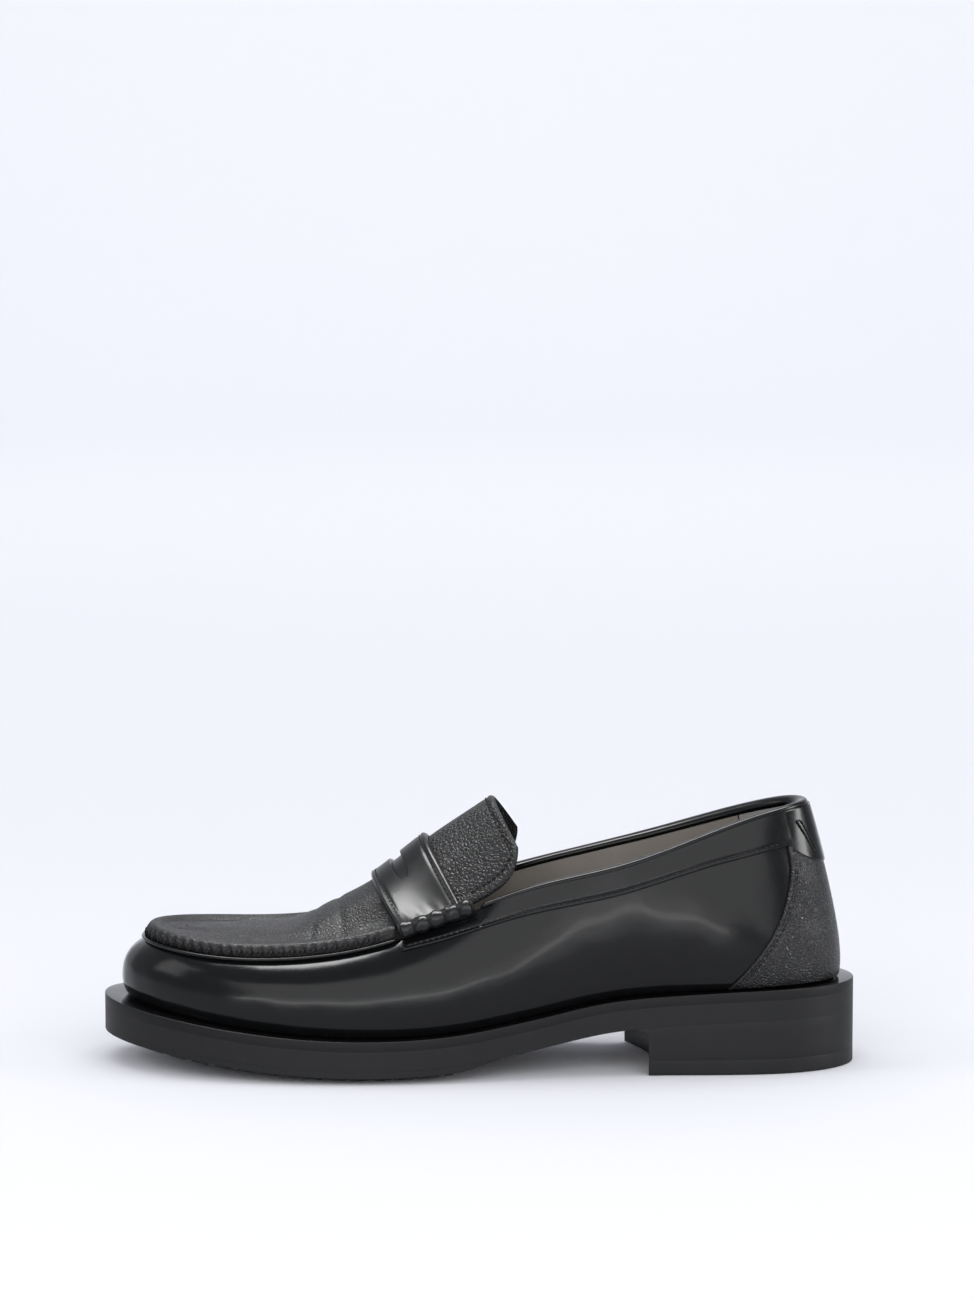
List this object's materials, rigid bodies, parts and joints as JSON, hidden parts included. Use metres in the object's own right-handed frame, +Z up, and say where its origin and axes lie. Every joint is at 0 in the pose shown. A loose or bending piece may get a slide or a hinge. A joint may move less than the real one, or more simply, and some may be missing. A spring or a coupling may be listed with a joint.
{
  "type": "penny loafer",
  "caption": "Slip-on penny loafer for the left foot: sewn apron, saddle strap with a coin slot and rolled ends, lined upper, welted sole and block heel.",
  "frame": {"origin": "on the ground plane below the middle of the sole's bounding box", "axes": "-X towards the toe, +X towards the heel, -Y towards the outer (lateral) side of the left foot, +Z up"},
  "size_m": [0.2977, 0.1077, 0.1058],
  "materials": {
    "glossy_leather": "black box leather brushed to a high gloss",
    "tumbled_leather": "black tumbled leather, fine pebble grain, satin",
    "lining_leather": "taupe lining leather, matt",
    "heel_grip_leather": "light grey lining leather with a fine nap",
    "thread": "waxed black thread",
    "welt": "black welt, satin",
    "sole_rubber": "black sole edge dressing, semi-matt with fine lengthwise brushing",
    "cork": "granulated cork paste",
    "steel": "plain steel",
    "insole_board": "leather board",
    "stiffener": "impregnated leather board"
  },
  "bodies": {
    "shoe": {"welt": "welt", "cork_filler": "cork", "shank": "steel", "midsole": "sole_rubber", "outsole": "sole_rubber", "forepart_tread": "sole_rubber", "heel_block": "sole_rubber", "heel_top_piece": "sole_rubber", "heel_nails": "steel", "insole_board": "insole_board", "sock_lining": "lining_leather", "heel_pad": "heel_grip_leather", "vamp": "glossy_leather", "toe_puff": "stiffener", "heel_stiffener": "stiffener", "vamp_lining": "lining_leather", "quarter_lining_lateral": "lining_leather", "quarter_lining_medial": "lining_leather", "heel_grip_lining": "heel_grip_leather", "apron": "tumbled_leather", "apron_lining": "lining_leather", "apron_stitches": "thread", "saddle_strap": "glossy_leather", "strap_stitches": "thread", "beef_roll_lateral": "tumbled_leather", "beef_roll_medial": "tumbled_leather", "beef_roll_stitches": "thread", "collar_lateral": "glossy_leather", "collar_medial": "glossy_leather", "collar_stitches": "thread", "topline_binding": "glossy_leather", "counter_cover": "tumbled_leather", "counter_stitches": "thread", "back_tab": "glossy_leather", "back_tab_stitches": "thread"},
    "tongue": {"tongue": "tumbled_leather", "tongue_lining": "lining_leather", "tongue_stitches": "thread"}
  },
  "joints": [
    {"name": "tongue_lift", "type": "hinge", "parent": "shoe", "child": "tongue", "pos_m": [-0.0196, 0, 0.0889], "axis": [0, -1, 0], "range_deg": [0, 20], "stiffness_Nm_per_rad": 0.05}
  ]
}
